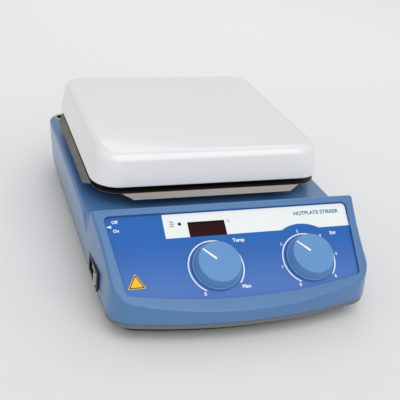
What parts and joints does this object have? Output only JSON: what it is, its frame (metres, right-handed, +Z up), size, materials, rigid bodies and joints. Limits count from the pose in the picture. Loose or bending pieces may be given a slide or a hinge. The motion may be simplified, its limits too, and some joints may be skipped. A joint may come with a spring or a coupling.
{
  "type": "magnetic hotplate stirrer",
  "caption": "Laboratory hotplate stirrer: low cast housing with a sloping dial panel, square glazed heating plate on a steel heat shield, rocker switch at the side.",
  "frame": {"origin": "on the bench, under the middle of the overall footprint", "axes": "+X to the right of someone facing the dials, +Y to the rear, +Z up"},
  "size_m": [0.2235, 0.33, 0.105],
  "materials": {
    "cast_blue": "satin powder coat",
    "grey_base": "moulded, fine texture",
    "black_pan": "moulded, matt",
    "rubber": "matt",
    "foil": "printed polycarbonate, satin",
    "window": "smoked red acrylic",
    "knob": "moulded, fine texture",
    "white_plastic": "moulded",
    "black_plastic": "moulded",
    "rocker": "moulded, satin",
    "enamel": "glossy white glaze",
    "steel": "rolled sheet, 2B",
    "bright_steel": "zinc plated",
    "aluminium": "machined",
    "brass": "turned",
    "board": "solder mask",
    "wool": "ceramic fibre",
    "mica": "mica sheet",
    "ceramic": "unglazed",
    "iron": "laminated",
    "magnet": "nickel plated",
    "glass": "clear",
    "sleeve": "braided glass sleeve"
  },
  "bodies": {
    "root": {"upper_housing": "cast_blue", "base_plate": "grey_base", "base_seal": "rubber", "base_pan": "black_pan", "feet": "rubber", "base_screws": "bright_steel", "front_foil": "foil", "display_window": "window", "display_module": "black_plastic", "lamp_light_pipe": "black_plastic", "front_board": "board", "board_spacers": "brass", "temp_pot": "black_plastic", "stir_pot": "black_plastic", "pot_nuts": "bright_steel", "switch_frame": "black_plastic", "switch_pin": "bright_steel", "plate_shell": "enamel", "heat_spreader": "aluminium", "heater_element": "mica", "heater_insulation": "wool", "heater_tray": "steel", "heat_shield": "steel", "plate_standoffs": "steel", "plate_washers": "ceramic", "plate_screws": "bright_steel", "heater_leads": "sleeve", "lead_bushings": "ceramic", "plate_probes": "steel", "magnet_cover": "aluminium", "motor_bracket": "steel", "bracket_screws": "bright_steel", "motor_can": "steel", "motor_bearings": "bright_steel", "motor_stator": "iron", "main_board": "board", "transformer": "iron", "capacitors": "black_plastic", "heat_sink": "aluminium", "power_triac": "black_plastic", "mains_inlet": "black_plastic", "inlet_screws": "bright_steel", "inlet_pins": "brass", "probe_socket": "aluminium", "probe_pins": "brass", "rod_bushing": "bright_steel"},
    "temp_dial": {"temp_knob": "knob", "temp_pointer": "white_plastic", "temp_shaft": "aluminium"},
    "stir_dial": {"stir_knob": "knob", "stir_pointer": "white_plastic", "stir_shaft": "aluminium"},
    "rocker": {"switch_rocker": "rocker"},
    "stirrer_drive": {"motor_spindle": "bright_steel", "motor_rotor": "iron", "magnet_yoke": "iron", "drive_magnets": "magnet"},
    "fuse_holder": {"fuse_drawer": "black_plastic", "fuses": "glass"}
  },
  "joints": [
    {"name": "temp_dial_turn", "type": "hinge", "parent": "root", "child": "temp_dial", "pos_m": [-0.022, -0.13206, 0.04676], "axis": [0, 0.5446, -0.8387], "range_deg": [-102, 178]},
    {"name": "stir_dial_turn", "type": "hinge", "parent": "root", "child": "stir_dial", "pos_m": [0.056, -0.13206, 0.04676], "axis": [0, 0.5446, -0.8387], "range_deg": [-102, 178]},
    {"name": "switch_rock", "type": "hinge", "parent": "root", "child": "rocker", "pos_m": [-0.1046, -0.095, 0.028], "axis": [0, 0, 1], "range_deg": [0, 18]},
    {"name": "stirrer_spin", "type": "hinge", "parent": "root", "child": "stirrer_drive", "pos_m": [0, 0.05, 0.06], "axis": [0, 0, 1], "continuous": true},
    {"name": "fuse_drawer_slide", "type": "slide", "parent": "root", "child": "fuse_holder", "axis": [0, 1, 0], "range_m": [0, 0.014]}
  ]
}
